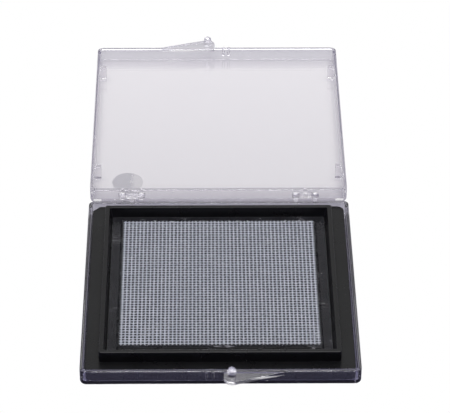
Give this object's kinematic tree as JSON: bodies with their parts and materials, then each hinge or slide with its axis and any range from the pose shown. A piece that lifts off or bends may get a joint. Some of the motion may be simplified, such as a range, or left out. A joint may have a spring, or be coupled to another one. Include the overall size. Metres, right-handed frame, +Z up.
{
  "type": "wet palette",
  "caption": "Clear hinged pocket case, opened flat, with a black square tray that carries a woven mesh under a clear membrane.",
  "frame": {"origin": "centre of the base half's underside", "axes": "+X to the right along the hinge, +Y from the thumb tab towards the hinge and the open lid, +Z up"},
  "size_m": [0.053, 0.1156, 0.0054],
  "materials": {
    "clear_base": "polished clear moulding with a faint lavender tint",
    "clear_lid": "polished clear moulding with a faint lavender tint",
    "black_tray": "fine-grained satin black moulding",
    "pad_foam": "dark open-cell foam, damp",
    "mesh_thread": "light grey monofilament in plain weave",
    "frame_tape": "thin dark adhesive film",
    "clear_film": "clear glossy membrane with fine scratches and dust"
  },
  "bodies": {
    "case_base": {"base_shell": "clear_base"},
    "lid": {"lid_shell": "clear_lid"},
    "tray_stack": {"tray": "black_tray", "sponge_pad": "pad_foam", "mesh_screen": "mesh_thread", "tape_frame": "frame_tape", "membrane_film": "clear_film"}
  },
  "joints": [
    {"name": "lid_hinge", "type": "hinge", "parent": "case_base", "child": "lid", "pos_m": [0, 0.0283, 0.00345], "axis": [1, 0, 0], "range_deg": [0, 180]},
    {"name": "tray_lift", "type": "slide", "parent": "case_base", "child": "tray_stack", "axis": [0, 0, 1], "range_m": [0, 0.018]}
  ]
}
